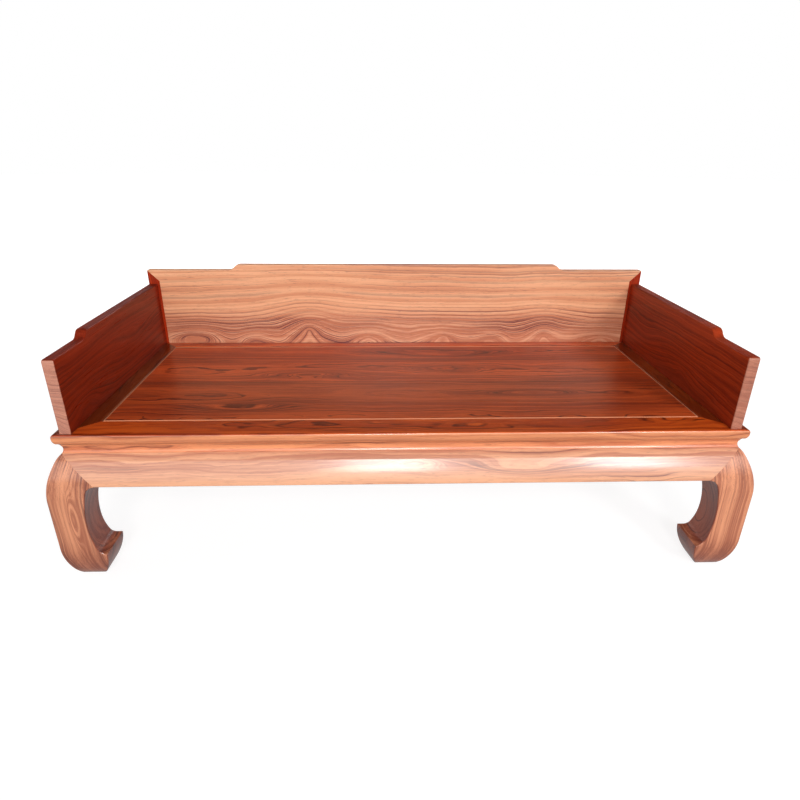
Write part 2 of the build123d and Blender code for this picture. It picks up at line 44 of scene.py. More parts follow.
# %% Add nodes in one line each
def add_node(tree, kind, inputs=None, **settings):
    """A new shader node; an input is either a value or the socket that feeds it."""
    node = tree.nodes.new("ShaderNode" + kind)
    for key, value in settings.items():
        setattr(node, key, value)
    for key, value in (inputs or {}).items():
        if isinstance(value, bpy.types.NodeSocket):
            tree.links.new(value, node.inputs[key])
        else:
            node.inputs[key].default_value = value
    return node


def calc(tree, operation, *values):
    """One sum of one, two or three values."""
    return add_node(tree, "Math", dict(enumerate(values)), operation=operation).outputs[0]


def remap(tree, value, low, high, to_low=0.0, to_high=1.0):
    """Turns a span of values into another one, with a soft start and end."""
    inputs = {"Value": value, "From Min": low, "From Max": high}
    inputs.update({"To Min": to_low, "To Max": to_high})
    return add_node(tree, "MapRange", inputs, interpolation_type="SMOOTHSTEP").outputs["Result"]


MIX_COLOUR_SOCKETS = (6, 7, 2)  # the Mix node's colours A and B, and its colour result


def mix_colours(tree, factor, first, second, blend="MIX"):
    a, b, result = MIX_COLOUR_SOCKETS
    inputs = {"Factor": factor, a: first, b: second}
    return add_node(tree, "Mix", inputs, data_type="RGBA", blend_type=blend).outputs[result]


print("node helpers ready")


# %% Open a node group, and name a colour
def new_group(name, inputs, outputs):
    """An empty node group with named sockets; inputs are (name, kind, value)."""
    tree = bpy.data.node_groups.new(name, "ShaderNodeTree")
    for label, kind, value in inputs:
        socket = tree.interface.new_socket(
            label, in_out="INPUT", socket_type="NodeSocket" + kind
        )
        if value is not None:
            socket.default_value = value
    for label, kind in outputs:
        tree.interface.new_socket(label, in_out="OUTPUT", socket_type="NodeSocket" + kind)
    return tree, tree.nodes.new("NodeGroupInput"), tree.nodes.new("NodeGroupOutput")


def paint(red, green, blue):
    """A colour as a colour picker names it, turned into the linear light that nodes use."""
    linear = [
        c / 12.92 if c <= 0.04045 else ((c + 0.055) / 1.055) ** 2.4
        for c in (red / 255, green / 255, blue / 255)
    ]
    return (*linear, 1.0)


print("middle grey is", [round(channel, 3) for channel in paint(128, 128, 128)])

# %% [markdown]
# ## Rosewood grain
#
# A tree lays its wood down in rings round a heart, and a saw lays them bare. Stripes could
# be drawn with a Wave texture, but they would not fit together round a plank's edges. So
# the pattern is worked out as the tree does it: the distance from the heart gives the ring,
# and slow noise makes the rings wander. Cut lengthwise this shows as stripes and pointed
# arches, and cut across it shows curved end grain, with nothing drawn by hand.
#
# In the recipe the trunk runs along X, and the heart is the line where Y and Z are 0.

# %% The grain recipe's sockets
grain, grain_in, grain_out = new_group(
    "rosewood_grain",
    [
        ("Vector", "Vector", None),
        ("Light", "Color", (0.5, 0.2, 0.1, 1.0)),
        ("Dark", "Color", (0.3, 0.1, 0.05, 1.0)),
        ("Vein", "Color", (0.1, 0.04, 0.03, 1.0)),
        ("Rings per Metre", "Float", 30.0),
        ("Wander", "Float", 0.02),
        ("Figure", "Float", 0.0),
        ("Push", "Float", 0.0),
        ("Contrast", "Float", 0.7),
        ("Veins", "Float", 0.5),
    ],
    [("Color", "Color"), ("Roughness", "Float"), ("Height", "Float")],
)
print("grain takes", len(grain.interface.items_tree), "sockets")


# %% Noise that runs with the trunk
def stretched(along, across):
    """The board's place, with other scales along the trunk and across it."""
    inputs = {"Vector": grain_in.outputs["Vector"], "Scale": (along, across, across)}
    return add_node(grain, "Mapping", inputs).outputs["Vector"]


def grain_noise(along, across, detail=2.0, roughness=0.5):
    """Noise with so many swells per metre along the trunk and across it."""
    inputs = {"Vector": stretched(along, across), "Scale": 1.0}
    inputs.update({"Detail": detail, "Roughness": roughness})
    return add_node(grain, "TexNoise", inputs).outputs["Fac"]


NOISE_MIDDLE = 0.5


def swing(noise, amount=1.0):
    """Noise that swings about zero."""
    return calc(grain, "MULTIPLY", calc(grain, "SUBTRACT", noise, NOISE_MIDDLE), amount)


print("noise helpers ready")

# %% [markdown]
# ### Rings
#
# The ring at a point is its distance from the heart, plus what pushes it about: the bends
# of the trunk, and in a figured board the flames, which cross the grain more steeply. Both
# are a slow noise with a little of a faster one on top.

# %% Which ring a point lies in
SMALL_BENDS = 0.2
SMALL_FLAMES = 0.15

from_heart = add_node(
    grain, "VectorMath", {0: stretched(0.0, 1.0)}, operation="LENGTH"
).outputs["Value"]
bend = calc(
    grain,
    "ADD",
    swing(grain_noise(1.5, 4.0)),
    swing(grain_noise(8.0, 22.0), SMALL_BENDS),
)
bend = calc(grain, "MULTIPLY", bend, grain_in.outputs["Wander"])
flame = calc(
    grain,
    "ADD",
    swing(grain_noise(7.0, 5.0, detail=1.0)),
    swing(grain_noise(20.0, 14.0, detail=1.0), SMALL_FLAMES),
)
flame = calc(grain, "MULTIPLY", flame, grain_in.outputs["Figure"])
ring_place = calc(grain, "ADD", from_heart, calc(grain, "ADD", bend, flame))
ring_place = calc(grain, "ADD", ring_place, grain_in.outputs["Push"])
print("rings found with", len(grain.nodes), "nodes")

# %% [markdown]
# ### Tone
#
# Every ring has its own tone. Noise along one line, the distance from the heart, gives it:
# the same tone all the way round a ring. Fibres, streaks and broad clouds lie over it, and
# all together choose between the board's light and dark colour.

# %% The tone of the wood
RING_TONES = (0.3, 0.7)
FIBRE_TONE = 0.9
STREAK_TONE = 1.0
CLOUD_TONE = 1.1
TONE_SPAN = (-0.1, 1.1)


def ring_noise(rings_per_metre, detail, roughness):
    """Noise along one line: the same tone all the way round a ring."""
    inputs = {"W": calc(grain, "MULTIPLY", ring_place, rings_per_metre), "Scale": 1.0}
    inputs.update({"Detail": detail, "Roughness": roughness})
    return add_node(grain, "TexNoise", inputs, noise_dimensions="1D").outputs["Fac"]


rings = grain_in.outputs["Rings per Metre"]
fibre = grain_noise(5.0, 320.0, detail=3.0, roughness=0.6)
streak = grain_noise(2.6, 85.0, detail=3.0, roughness=0.6)
cloud = grain_noise(2.2, 8.0)
tone = remap(grain, ring_noise(rings, detail=6.0, roughness=0.68), *RING_TONES)
tone = calc(grain, "ADD", tone, swing(fibre, FIBRE_TONE))
tone = calc(grain, "ADD", tone, swing(streak, STREAK_TONE))
tone = calc(grain, "ADD", tone, swing(cloud, CLOUD_TONE))
dark_share = calc(grain, "MULTIPLY", remap(grain, tone, *TONE_SPAN), grain_in.outputs["Contrast"])
wood = mix_colours(grain, dark_share, grain_in.outputs["Light"], grain_in.outputs["Dark"])
print("tone found with", len(grain.nodes), "nodes")

# %% [markdown]
# ### Veins and pores
#
# Rosewood's thin dark veins follow single rings, and come and go along the trunk. A line
# of noise crosses its middle value now and then, and the vein is drawn where it does. The
# pores are short dark pits, which also dull the gloss and make the surface a little rough
# to the finger.

# %% Veins, pores and what the recipe gives
VEINS_PER_RING = 1.3
VEIN_HALF_WIDTH = 0.045
VEIN_PATCHES = (0.42, 0.6)
PORES = (0.6, 0.7)
PORE_DARKNESS = 0.5
PORE_DULLNESS = 0.10
FIBRE_DULLNESS = 0.10
FIBRE_RELIEF = 0.3

vein_line = ring_noise(calc(grain, "MULTIPLY", rings, VEINS_PER_RING), detail=3.0, roughness=0.6)
vein_line = remap(grain, calc(grain, "ABSOLUTE", swing(vein_line)), VEIN_HALF_WIDTH, 0.0)
vein_patch = remap(grain, grain_noise(1.3, 10.0, detail=3.0), *VEIN_PATCHES)
vein_share = calc(grain, "MULTIPLY", vein_line, vein_patch)
vein_share = calc(grain, "MULTIPLY", vein_share, grain_in.outputs["Veins"])
wood = mix_colours(grain, vein_share, wood, grain_in.outputs["Vein"])
pore = remap(grain, grain_noise(26.0, 700.0, roughness=0.6), *PORES)
pore_share = calc(grain, "MULTIPLY", pore, PORE_DARKNESS)
wood = mix_colours(grain, pore_share, wood, grain_in.outputs["Vein"])
dullness = calc(
    grain,
    "ADD",
    calc(grain, "MULTIPLY", pore, PORE_DULLNESS),
    calc(grain, "MULTIPLY", fibre, FIBRE_DULLNESS),
)
relief = calc(grain, "SUBTRACT", calc(grain, "MULTIPLY", fibre, FIBRE_RELIEF), pore)
for result, label in ((wood, "Color"), (dullness, "Roughness"), (relief, "Height")):
    grain.links.new(result, grain_out.inputs[label])
print("grain recipe:", len(grain.nodes), "nodes")

# %% [markdown]
# ### Swellings
#
# Where a branch once started, the rings bulge, and a plank cut there shows nested ovals or
# arches. Noise alone seldom makes one where it is wanted. A swelling is a push of the rings
# away from the heart, or with a minus towards it, at a chosen place: a soft round one, or
# a pointed one where its roundness is low.

# %% The swelling recipe
swelling, swelling_in, swelling_out = new_group(
    "grain_swelling",
    [
        ("Vector", "Vector", None),
        ("Place", "Vector", None),
        ("Size", "Vector", (0.1, 0.03, 0.03)),
        ("Amount", "Float", 0.03),
        ("Roundness", "Float", 2.0),
        ("Push", "Float", 0.0),
    ],
    [("Push", "Float")],
)
offset = swelling_in.outputs["Vector"]
for operation, label in (("SUBTRACT", "Place"), ("DIVIDE", "Size")):
    inputs = {0: offset, 1: swelling_in.outputs[label]}
    offset = add_node(swelling, "VectorMath", inputs, operation=operation).outputs[0]
offset = add_node(swelling, "VectorMath", {0: offset}, operation="LENGTH").outputs["Value"]
slope = calc(swelling, "POWER", offset, swelling_in.outputs["Roundness"])
hill = calc(swelling, "EXPONENT", calc(swelling, "MULTIPLY", slope, -1.0))
hill = calc(swelling, "MULTIPLY", hill, swelling_in.outputs["Amount"])
hill = calc(swelling, "ADD", hill, swelling_in.outputs["Push"])
swelling.links.new(hill, swelling_out.inputs["Push"])
print("swelling recipe:", len(swelling.nodes), "nodes")

# %% [markdown]
# ## Lacquer
#
# Lacquer fills the grain and pulls a little away from every edge, so an arris shows as a
# thin bright line and not as a knife edge. A Bevel modifier would change the joinery's
# shape, but the Bevel node rounds only the shading. The planed boards are also not quite
# flat, which makes their reflections swim a little: a broad, very shallow noise does that.

# %% The lacquer recipe's normal
EDGE_SAMPLES = 6
RIPPLES_PER_METRE = 7.0
RIPPLE_STRENGTH = 0.25
BUMP_DEPTH = 0.001

lacquer, lacquer_in, lacquer_out = new_group(
    "lacquer_surface",
    [
        ("Vector", "Vector", None),
        ("Height", "Float", 0.0),
        ("Grain Relief", "Float", 0.02),
        ("Edge Radius", "Float", 0.002),
        ("Color", "Color", (0.5, 0.2, 0.1, 1.0)),
        ("Arris Wear and Highlight", "Float", 0.3),
        ("Dark Corner", "Float", 0.5),
    ],
    [("Color", "Color"), ("Normal", "Vector")],
)


def bump(height, strength, normal):
    inputs = {"Height": height, "Strength": strength, "Distance": BUMP_DEPTH, "Normal": normal}
    return add_node(lacquer, "Bump", inputs).outputs[0]


inputs = {"Radius": lacquer_in.outputs["Edge Radius"]}
soft_edge = add_node(lacquer, "Bevel", inputs, samples=EDGE_SAMPLES).outputs[0]
inputs = {"Vector": lacquer_in.outputs["Vector"], "Scale": RIPPLES_PER_METRE, "Detail": 1.0}
ripple = add_node(lacquer, "TexNoise", inputs).outputs["Fac"]
planed = bump(ripple, RIPPLE_STRENGTH, soft_edge)
textured = bump(lacquer_in.outputs["Height"], lacquer_in.outputs["Grain Relief"], planed)
lacquer.links.new(textured, lacquer_out.inputs["Normal"])
print("lacquer normal:", len(lacquer.nodes), "nodes")

# %% [markdown]
# ### Lighter arrises and dark corners
#
# The arrises are painted lighter, partly as polish rubbed thin there and partly as a painted
# highlight. The corners are painted darker, as painted shade and the polish that gathers
# there. The arrises are where the rounded normal leaves the true one, and the Ambient
# Occlusion node finds the corners, so neither mask has to be drawn.

# %% The lacquer recipe's colour
ARRIS_TURN = (0.99, 0.85)
ARRIS_LIGHTER_FOR_WEAR_AND_HIGHLIGHT = 1.6
CORNER_REACH = 0.012
CORNER_DEPTH = (0.75, 0.2)
# Painted shade in the corners, with the polish that gathers there.
CORNER_SHADE_AND_POLISH = paint(46, 16, 10)

plain = lacquer_in.outputs["Color"]
true_normal = add_node(lacquer, "NewGeometry").outputs["Normal"]
arris = add_node(lacquer, "VectorMath", {0: soft_edge, 1: true_normal}, operation="DOT_PRODUCT")
arris = remap(lacquer, arris.outputs["Value"], *ARRIS_TURN)
# The arrises are painted lighter: partly polish rubbed thin, partly a painted highlight.
arris_wear_and_highlight = add_node(lacquer, "HueSaturation", {"Color": plain, "Value": ARRIS_LIGHTER_FOR_WEAR_AND_HIGHLIGHT}).outputs[0]
arris_wear_and_highlight_share = calc(lacquer, "MULTIPLY", arris, lacquer_in.outputs["Arris Wear and Highlight"])
finished = mix_colours(lacquer, arris_wear_and_highlight_share, plain, arris_wear_and_highlight)
# Ambient occlusion finds the corners that get the painted shade.
inputs = {"Distance": CORNER_REACH}
openness = add_node(lacquer, "AmbientOcclusion", inputs, samples=EDGE_SAMPLES).outputs["AO"]
corner = remap(lacquer, openness, *CORNER_DEPTH)
corner_share = calc(lacquer, "MULTIPLY", corner, lacquer_in.outputs["Dark Corner"])
finished = mix_colours(lacquer, corner_share, finished, CORNER_SHADE_AND_POLISH)
lacquer.links.new(finished, lacquer_out.inputs["Color"])
print("lacquer recipe:", len(lacquer.nodes), "nodes")

# %% [markdown]
# ## Choosing the planks
#
# A workshop sorts its boards: the lightest and best figured for what faces the front,
# darker red ones for the seat and the insides of the rails, plain ones for what nobody
# sees; the darker red is partly a stain and partly painted shade. Each name below is one
# such pile. The names inside the tables are those of the recipe's and the shader's own
# sockets, so a pile's values can be poured straight in.

# %% The piles of boards
PILES = {
    # Paler and bluer than the bare wood, partly as a painted sheen of the bright wall in front.
    "front": {"Light": (240, 175, 136), "Dark": (195, 126, 98), "Vein": (126, 82, 74)},
    "frame": {"Light": (237, 153, 105), "Dark": (190, 102, 66), "Vein": (116, 60, 46)},
    "leg": {"Light": (228, 154, 115), "Dark": (173, 102, 75), "Vein": (108, 60, 52)},
    # Paler than the bare wood, partly as a painted sheen like the glow on the back board.
    "rail": {"Light": (247, 185, 142), "Dark": (215, 137, 98), "Vein": (116, 62, 62)},
    # The seat and side colours are darker red, partly a stain and partly painted shade.
    "seat": {"Light": (209, 88, 38), "Dark": (162, 60, 26), "Vein": (80, 24, 13)},
    "side": {"Light": (184, 56, 22), "Dark": (128, 30, 11), "Vein": (74, 19, 9)},
    "brown side": {"Light": (178, 62, 26), "Dark": (124, 34, 14), "Vein": (72, 21, 11)},
    "bare": {"Light": (196, 128, 90), "Dark": (164, 96, 62), "Vein": (110, 60, 44)},
}
print("piles:", ", ".join(PILES))

# %% How lively the grain of each pile is
GRAIN = {
    "front": {"Rings per Metre": 34.0, "Wander": 0.06, "Contrast": 1.1, "Veins": 0.8},
    "frame": {"Rings per Metre": 34.0, "Wander": 0.06, "Contrast": 0.9, "Veins": 0.6},
    "leg": {"Rings per Metre": 38.0, "Wander": 0.03, "Contrast": 1.0, "Veins": 0.8},
    "rail": {"Rings per Metre": 40.0, "Wander": 0.04, "Contrast": 0.8, "Veins": 0.5},
    "seat": {"Rings per Metre": 44.0, "Wander": 0.07, "Contrast": 1.3, "Veins": 0.9},
    "side": {"Rings per Metre": 64.0, "Wander": 0.07, "Contrast": 0.85, "Veins": 0.6},
    "brown side": {"Rings per Metre": 64.0, "Wander": 0.07, "Contrast": 0.85, "Veins": 0.6},
    "bare": {"Rings per Metre": 30.0, "Wander": 0.02, "Contrast": 0.7, "Veins": 0.2},
}
print("most rings:", max(values["Rings per Metre"] for values in GRAIN.values()), "per metre")

# %% [markdown]
# The coat is the film of lacquer. It is thick on the front, thinner on the rails, and worn
# satin on the seat, where people sit. These values are the same all over a piece, so they
# are set on the shader's own sockets.

# %% How each pile is lacquered
COAT = {
    "front": {"Coat Weight": 0.7, "Coat Roughness": 0.16, "Specular IOR Level": 0.25},
    "frame": {"Coat Weight": 0.6, "Coat Roughness": 0.16, "Specular IOR Level": 0.25},
    "leg": {"Coat Weight": 0.6, "Coat Roughness": 0.18, "Specular IOR Level": 0.25},
    "rail": {"Coat Weight": 0.35, "Coat Roughness": 0.22, "Specular IOR Level": 0.25},
    "seat": {"Coat Weight": 0.28, "Coat Roughness": 0.34, "Specular IOR Level": 0.1},
    "side": {"Coat Weight": 0.08, "Coat Roughness": 0.26, "Specular IOR Level": 0.1},
    "brown side": {"Coat Weight": 0.08, "Coat Roughness": 0.26, "Specular IOR Level": 0.1},
    "bare": {"Coat Weight": 0.0, "Coat Roughness": 0.3, "Specular IOR Level": 0.25},
}
LACQUERED = {"roughness": 0.24, "relief": 0.04}
SAWN = {"roughness": 0.5, "relief": 0.3}
print("thickest coat:", max(COAT, key=lambda pile: COAT[pile]["Coat Weight"]))

# %% [markdown]
# ## Cutting a board
#
# A Mapping node turns each piece so that its trunk runs along the recipe's X, and shifts
# it so that the heart of the tree lies where that board was cut from. A step along the
# trunk, made from the letters of the piece's name, gives every piece a board of its own
# that stays the same each time the file is run.

# %% Where a piece lies in its tree
TURN = {"X": (0.0, 0.0, 0.0), "Y": (0.0, 0.0, -math.pi / 2), "Z": (0.0, math.pi / 2, 0.0)}
BOARD_STEP = 0.37


def place_in_tree(piece, along, heart):
    """The turn and shift into the tree; the heart is seen from the middle of the piece."""
    low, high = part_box(piece)
    turn = Euler(TURN[along]).to_matrix()
    middle = turn @ ((Vector(low) + Vector(high)) / 2)
    letters = sum(ord(letter) * (place + 1) for place, letter in enumerate(piece))
    shift = (letters * BOARD_STEP - middle.x, -heart[0] - middle.y, -heart[1] - middle.z)
    return turn, Vector(shift)


print("turns for grain along", ", ".join(TURN))


# %% Cut one board and lacquer it
def rosewood(piece, pile, along, heart=(0.03, 0.12), swellings=(), shade=1.0):
    """The finished material of one piece."""
    material = bpy.data.materials.new("rosewood_" + piece)
    material.use_nodes = True
    tree = material.node_tree
    place = add_node(tree, "TexCoord").outputs["Object"]
    turn, shift = place_in_tree(piece, along, heart)
    inputs = {"Vector": place, "Rotation": TURN[along], "Location": shift}
    board = add_node(tree, "Mapping", inputs).outputs["Vector"]

    push = 0.0
    for centre, size, amount, roundness in swellings:
        inputs = {"Vector": board, "Place": turn @ Vector(centre) + shift, "Size": size}
        inputs.update({"Amount": amount, "Roundness": roundness, "Push": push})
        push = add_node(tree, "Group", inputs, node_tree=swelling).outputs["Push"]
    inputs = {"Vector": board, "Push": push, **GRAIN[pile]}
    for name, colour in PILES[pile].items():
        inputs[name] = paint(*[channel * shade for channel in colour])
    wood = add_node(tree, "Group", inputs, node_tree=grain).outputs

    surface = SAWN if pile == "bare" else LACQUERED
    inputs = {"Vector": place, "Height": wood["Height"], "Color": wood["Color"]}
    inputs["Grain Relief"] = surface["relief"]
    film = add_node(tree, "Group", inputs, node_tree=lacquer).outputs
    shader = tree.nodes["Principled BSDF"]
    tree.links.new(film["Color"], shader.inputs["Base Color"])
    tree.links.new(film["Normal"], shader.inputs["Normal"])
    roughness = calc(tree, "ADD", wood["Roughness"], surface["roughness"])
    tree.links.new(roughness, shader.inputs["Roughness"])
    for name, value in COAT[pile].items():
        shader.inputs[name].default_value = value
    return material


def dress(piece, *args, **kwargs):
    """Gives a piece of joinery its material."""
    material = rosewood(piece, *args, **kwargs)
    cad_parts[piece].material_slots[0].material = material
    return material


print("ready to cut", len(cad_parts), "boards")

# %% [markdown]
# ## Finishes that change along a piece
#
# A frame is darker on top, partly a stain and partly painted shade, a rim has a painted
# highlight, and an edge is dulled by hands. Each such place is a mask: a number that is 1
# inside, 0 outside, and runs softly between, made from where a point lies or which way it
# faces. Four small tools then use a mask: tint multiplies the colour, lively changes the
# grain, polish changes the coat, and recolour turns to the colours and the coat of another
# pile. Masks can be painted by hand too, but these need no unwrapping and stay sharp at any
# distance.


# %% Masks and tints
def group_node(material, recipe):
    """The node that holds a recipe in a material."""
    nodes = material.node_tree.nodes
    return next(n for n in nodes if n.type == "GROUP" and n.node_tree == recipe)


def axis_of(material, coordinate, axis):
    """One axis of "Object", where a point lies, or of "Normal", which way it faces."""
    tree = material.node_tree
    source = add_node(tree, "TexCoord").outputs[coordinate]
    return add_node(tree, "SeparateXYZ", {0: source}).outputs[axis]


def tint(material, mask, colour, blend="MULTIPLY"):
    """Lays a colour between the grain and the lacquer inside a mask."""
    tree = material.node_tree
    plain_wood = group_node(material, grain).outputs["Color"]
    tinted = mix_colours(tree, mask, plain_wood, colour, blend)
    tree.links.new(tinted, group_node(material, lacquer).inputs["Color"])


def between(tree, mask, outside, inside):
    """The outside value where the mask is 0, the inside value where it is 1."""
    return calc(tree, "MULTIPLY_ADD", mask, calc(tree, "SUBTRACT", inside, outside), outside)


def lively(material, mask, **inside):
    """Moves each named input of the grain to another value inside a mask."""
    for name, value in inside.items():
        socket = group_node(material, grain).inputs[name]
        tree = material.node_tree
        tree.links.new(between(tree, mask, socket.default_value, value), socket)


print("masks and tints ready")


# %% Gloss and other piles inside a mask
FACES_UP = (0.6, 0.9)
DULLED = 0.4


def polish(material, mask, inside):
    """Moves the weight of the coat to another value inside a mask."""
    tree = material.node_tree
    coat = tree.nodes["Principled BSDF"].inputs["Coat Weight"]
    outside = coat.links[0].from_socket if coat.links else coat.default_value
    tree.links.new(between(tree, mask, outside, inside), coat)


def recolour(material, mask, pile):
    """Turns to the colours and the coat of another pile inside a mask."""
    tree = material.node_tree
    for name, colour in PILES[pile].items():
        socket = group_node(material, grain).inputs[name]
        blend = mix_colours(tree, mask, tuple(socket.default_value), paint(*colour))
        tree.links.new(blend, socket)
    polish(material, mask, COAT[pile]["Coat Weight"])


def dull_top(material):
    """Takes the shine off the faces that look up, which hands have rubbed."""
    tree = material.node_tree
    mask = remap(tree, axis_of(material, "Normal", "Z"), *FACES_UP)
    polish(material, mask, 0.0)
    roughness = tree.nodes["Principled BSDF"].inputs["Roughness"]
    dulled = calc(tree, "MULTIPLY_ADD", mask, DULLED, roughness.links[0].from_socket)
    tree.links.new(dulled, roughness)


print("gloss tools ready")

# %% [markdown]
# ## Seat frame, waist and aprons
#
# These are long boards with the grain running along them: X at the front and back, Y at
# the sides. The members that meet at a mitre are different boards, so their stripes meet
# at an angle there. The frame is darker and redder on top to match the seat, partly a stain
# and partly painted shade, and left natural on its moulding; a stained second frame on top
# could do it too, but the mask needs no new piece. The two end members are painted darker,
# as painted shade and a painted dark reflection of the side rails. The front apron has two
# swellings in its grain.

# %% Dress the frame, the waist and the aprons
SEAT_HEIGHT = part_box("frame_front")[1][2]
# The frame's top is darker and redder: partly a stain, partly painted shade.
TOP_STAIN_AND_SHADE = paint(245, 166, 87)
TOP_STAIN_AND_SHADE_STARTS = 0.003
TOP_STAIN_AND_SHADE_FULL = 0.0005
FRAME_TOP_COAT = 0.25
# The end members' low values are painted shade and a painted dark reflection of the side rails.
FRAME_PAINTED_SHADE = {"front": 1.0, "back": 1.0, "left": 0.56, "right": 0.68}
WAIST_SHADE = 1.05
# A swelling: its middle, its size along and across the grain, its amount, its roundness
APRON_SWELLINGS = [
    ((0.03, -0.52, 0.385), (0.09, 0.06, 0.014), 0.026, 2.0),
    ((0.36, -0.52, 0.370), (0.12, 0.06, 0.016), -0.024, 1.3),
]

for side, shade in FRAME_PAINTED_SHADE.items():
    along = "X" if side in ("front", "back") else "Y"
    member = dress(f"frame_{side}", "frame", along, heart=(0.02, -0.07), shade=shade)
    height = axis_of(member, "Object", "Z")
    top = remap(member.node_tree, height, SEAT_HEIGHT - TOP_STAIN_AND_SHADE_STARTS, SEAT_HEIGHT - TOP_STAIN_AND_SHADE_FULL)
    tint(member, top, TOP_STAIN_AND_SHADE)
    lively(member, top, Contrast=1.7, Veins=1.2)
    polish(member, top, FRAME_TOP_COAT)
    dress(f"waist_{side}", "frame", along, heart=(0.10, 0.05), shade=WAIST_SHADE)
    figure = APRON_SWELLINGS if side == "front" else ()
    dress(f"apron_{side}", "front", along, heart=(0.12, 0.02), swellings=figure)
print("dressed frame, waist and aprons,", len(bpy.data.materials), "materials so far")

# %% [markdown]
# ## Seat
#
# The seat is one floating panel of four edge-glued boards with a fine eased line all round
# it, painted pale as a painted highlight, and wider at the back as a painted reflection of
# the back rail. The line could be a thin extra strip, but it is a mask just inside the
# panel's edge. The edge is read from the boards themselves. The four swellings run on from
# board to board, as matched boards from one trunk do.

# %% Find the rubbed rim of the seat
TOP_TOLERANCE = 0.0002
RIM_SHARE = 0.85
# How far in from the edge the painted highlight starts, and where it is full
RIM_SIDES = (0.004, 0.002)
RIM_FRONT = (0.003, 0.001)
RIM_BACK = (0.012, 0.009)

seat_tops = [
    vertex.co
    for number in range(1, 5)
    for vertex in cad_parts[f"seat_board_{number}"].data.vertices
    if vertex.co.z > SEAT_HEIGHT - TOP_TOLERANCE
]
edge_x = max(point.x for point in seat_tops)
front_y = min(point.y for point in seat_tops)
back_y = max(point.y for point in seat_tops)


def rim_mask(board):
    """1 on the outermost few millimetres of the seat."""
    tree = board.node_tree
    sideways = calc(tree, "ABSOLUTE", axis_of(board, "Object", "X"))
    forwards = axis_of(board, "Object", "Y")
    sides = remap(tree, sideways, *[edge_x - inset for inset in RIM_SIDES])
    front = remap(tree, forwards, *[front_y + inset for inset in RIM_FRONT])
    behind = remap(tree, forwards, *[back_y - inset for inset in RIM_BACK])
    rim = calc(tree, "MAXIMUM", calc(tree, "MAXIMUM", sides, front), behind)
    return calc(tree, "MULTIPLY", rim, RIM_SHARE)


print("seat top reaches x", round(edge_x, 4), "y", round(front_y, 4), round(back_y, 4))

# %% Dress the seat boards, and the battens under them
# The pale rim: a painted highlight, and at the back a painted reflection of the back rail.
RIM_HIGHLIGHT_PAINT = paint(238, 158, 118)
SEAT_SHADES = (1.0, 0.95, 1.04, 0.98)
SEAT_HEARTS = [(0.04 * number - 0.1, -0.11) for number in range(1, 5)]
SEAT_SWELLINGS = [
    ((-0.52, -0.29, 0.47), (0.13, 0.035, 0.3), 0.030, 2.0),
    ((0.45, -0.16, 0.47), (0.20, 0.040, 0.3), -0.035, 1.4),
    ((-0.30, 0.05, 0.47), (0.22, 0.045, 0.3), 0.035, 2.0),
    ((0.20, 0.25, 0.47), (0.25, 0.050, 0.3), -0.040, 1.4),
]

for number, (heart, shade) in enumerate(zip(SEAT_HEARTS, SEAT_SHADES), start=1):
    board = dress(f"seat_board_{number}", "seat", "X", heart, SEAT_SWELLINGS, shade)
    tint(board, rim_mask(board), RIM_HIGHLIGHT_PAINT, "MIX")
for number in range(1, 6):
    dress(f"seat_batten_{number}", "bare", "Y")
print("dressed the seat,", len(bpy.data.materials), "materials so far")

# %% [markdown]
# ## Legs
#
# A leg's grain stands upright, so the curves of the cabriole cut through it and show long
# ovals at the knee. The inner faces are painted darker, as painted shade, and the feet are
# darker towards the floor. A mask of which way a face looks finds the first, a mask of
# height the second, and the larger of the two tints the leg.

# %% Dress the legs
# Inner faces: painted shade. Feet: darker towards the floor.
INNER_SHADE_AND_FOOT_TONE = (0.47, 0.27, 0.24, 1.0)
LOOKS_IN = (0.3, 0.8)
FOOT = (0.16, 0.02)
FOOT_SHARE = 0.7
KNEE_SWELLING = ((-1.0, -0.52, 0.215), (0.07, 0.06, 0.013), 0.050, 2.0)
# For each leg its heart, its swellings, its shade, and which way along X is inwards
LEGS = {
    "front_left": ((0.03, 0.13), [KNEE_SWELLING], 1.0, 1.0),
    "front_right": ((0.02, -0.12), [], 1.03, -1.0),
    "back_left": ((-0.12, 0.06), [], 1.0, 1.0),
    "back_right": ((-0.10, -0.07), [], 1.0, -1.0),
}

for corner, (heart, figure, shade, inwards) in LEGS.items():
    leg = dress(f"leg_{corner}", "leg", "Z", heart, figure, shade)
    tree = leg.node_tree
    looks_in = calc(tree, "MULTIPLY", axis_of(leg, "Normal", "X"), inwards)
    inner_face = remap(tree, looks_in, *LOOKS_IN)
    foot = remap(tree, axis_of(leg, "Object", "Z"), *FOOT, 0.0, FOOT_SHARE)
    tint(leg, calc(tree, "MAXIMUM", inner_face, foot), INNER_SHADE_AND_FOOT_TONE)
print("dressed", len(LEGS), "legs")

# %% [markdown]
# ## Back rail
#
# The back is one wide board, the show piece of the daybed, calm above and with its
# liveliest figure low down, as a board is that was cut near the butt of the tree. Eight
# swellings are too many to leave to chance, so each has its place, and a mask of height
# brings in flames, veins and contrast round them. Its top is dulled by hands.

